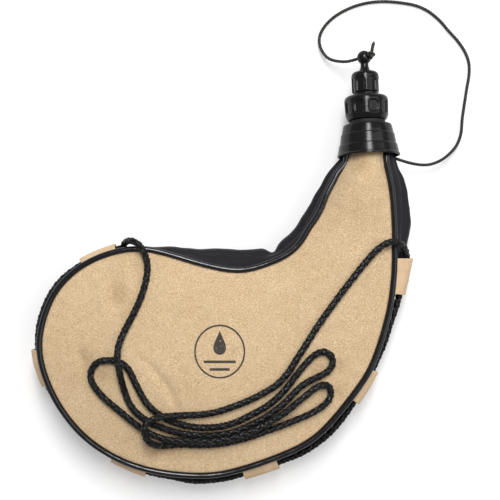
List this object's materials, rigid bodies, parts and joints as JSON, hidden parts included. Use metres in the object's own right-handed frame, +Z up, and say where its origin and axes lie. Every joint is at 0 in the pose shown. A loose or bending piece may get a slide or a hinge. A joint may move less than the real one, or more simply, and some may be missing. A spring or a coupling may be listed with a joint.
{
  "type": "leather bota bag",
  "caption": "Kidney-shaped suede drinking bag with a dark gusset, a screw-on filler cap with a spout, a tethered stopper and a carrying cord folded on its front.",
  "frame": {"origin": "on the table under the centre of the bag's plan, without its cords", "axes": "+Z up from the table through the front panel, +Y towards the screw head, +X to the right seen from above"},
  "size_m": [0.2821, 0.3111, 0.0534],
  "materials": {
    "suede": "matt napped suede",
    "keeper_leather": "smooth matt leather",
    "gusset_fabric": "dark coated cloth, slightly satin",
    "piping_vinyl": "glossy vinyl",
    "head_plastic": "glossy moulded plastic",
    "rubber": "matt rubber",
    "latex": "satin latex",
    "cord_braid": "satin braided cord",
    "waxed_cord": "waxed twisted cord"
  },
  "bodies": {
    "root": {"front_panel": "suede", "back_panel": "suede", "gusset": "gusset_fabric", "front_piping": "piping_vinyl", "back_piping": "piping_vinyl", "liner": "latex", "collar": "head_plastic", "neck_insert": "head_plastic", "neck_binding": "waxed_cord", "keeper_1": "keeper_leather", "keeper_2": "keeper_leather", "keeper_3": "keeper_leather", "keeper_4": "keeper_leather", "keeper_5": "keeper_leather", "keeper_6": "keeper_leather", "strap_cord_held": "cord_braid", "strap_cord": "cord_braid", "tether": "waxed_cord"},
    "gasket_body": {"filler_gasket": "rubber"},
    "filler_cap_body": {"filler_cap": "head_plastic"},
    "seal_body": {"stopper_seal": "rubber"},
    "stopper_body": {"stopper": "head_plastic", "tether_knot": "waxed_cord"}
  },
  "joints": [
    {"name": "filler_cap_lift", "type": "slide", "parent": "root", "child": "gasket_body", "axis": [-0.04, 0.9968, -0.0698], "range_m": [0, 0.006]},
    {"name": "filler_cap_turn", "type": "hinge", "parent": "gasket_body", "child": "filler_cap_body", "pos_m": [0.0936, 0.07071, 0.024], "axis": [-0.04, 0.9968, -0.0698], "range_deg": [0, 720]},
    {"name": "stopper_lift", "type": "slide", "parent": "filler_cap_body", "child": "seal_body", "axis": [-0.04, 0.9968, -0.0698], "range_m": [0, 0.004]},
    {"name": "stopper_turn", "type": "hinge", "parent": "seal_body", "child": "stopper_body", "pos_m": [0.0936, 0.07071, 0.024], "axis": [-0.04, 0.9968, -0.0698], "range_deg": [0, 720], "deforming": ["tether"]}
  ],
  "couplings": [
    {"joint": "filler_cap_turn", "follows": "filler_cap_lift", "rad_per_m": 2094.4},
    {"joint": "stopper_turn", "follows": "stopper_lift", "rad_per_m": 3141.6}
  ]
}
